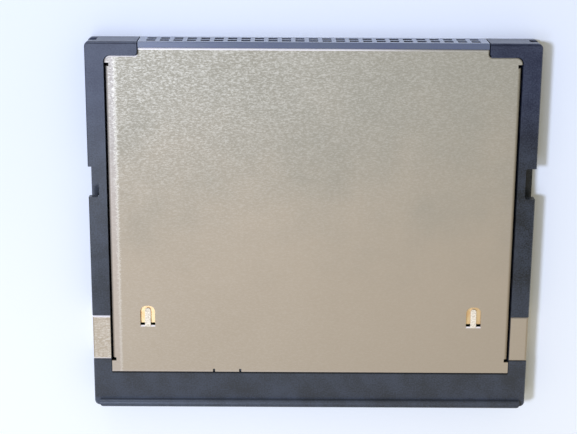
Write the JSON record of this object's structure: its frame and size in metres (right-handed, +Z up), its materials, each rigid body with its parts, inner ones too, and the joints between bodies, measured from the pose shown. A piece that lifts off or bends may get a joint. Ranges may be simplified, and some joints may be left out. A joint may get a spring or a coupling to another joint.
{
  "type": "wireless memory-format card",
  "caption": "Flat radio card with a steel back cover, moulded frame with side guide grooves, and a wide pin socket along its front edge.",
  "frame": {"origin": "on the supporting surface, under the middle of the card's 42.8 by 36.4 mm outline", "axes": "+X across the card's width, +Y towards the socket end, +Z up through the thickness, out of the back cover"},
  "size_m": [0.0428, 0.0364, 0.0039],
  "materials": {
    "frame_plastic": "fine moulded grain, satin",
    "cover_steel": "satin stainless sheet with a fine rolled grain",
    "socket_plastic": "smooth moulded",
    "contact_gold": "thin gold plating",
    "board_laminate": "glossy solder mask",
    "clip_gold": "bright gold plating",
    "chip_moulding": "matt moulding compound",
    "crystal_metal": "plated lid",
    "tantalum_resin": "matt resin",
    "antenna_ceramic": "unglazed ceramic",
    "capacitor_ceramic": "fired ceramic",
    "resistor_ceramic": "glass-coated ceramic",
    "insulating_film": "thin plastic film"
  },
  "bodies": {
    "root": {"frame": "frame_plastic", "back_cover": "cover_steel", "front_cover": "cover_steel", "socket_housing": "socket_plastic", "upper_contacts": "contact_gold", "lower_contacts": "contact_gold", "circuit_board": "board_laminate", "ground_clip_left": "clip_gold", "ground_clip_right": "clip_gold", "radio_chip": "chip_moulding", "interface_chip": "chip_moulding", "firmware_memory": "chip_moulding", "settings_memory": "chip_moulding", "voltage_regulator": "chip_moulding", "reference_crystal": "crystal_metal", "interface_crystal": "crystal_metal", "tantalum_capacitor": "tantalum_resin", "chip_antenna": "antenna_ceramic", "band_filter": "antenna_ceramic", "matching_coils": "antenna_ceramic", "radio_capacitors": "capacitor_ceramic", "supply_capacitors": "capacitor_ceramic", "pull_up_resistors": "resistor_ceramic", "series_resistors": "resistor_ceramic", "back_film": "insulating_film", "front_film": "insulating_film"}
  },
  "joints": []
}
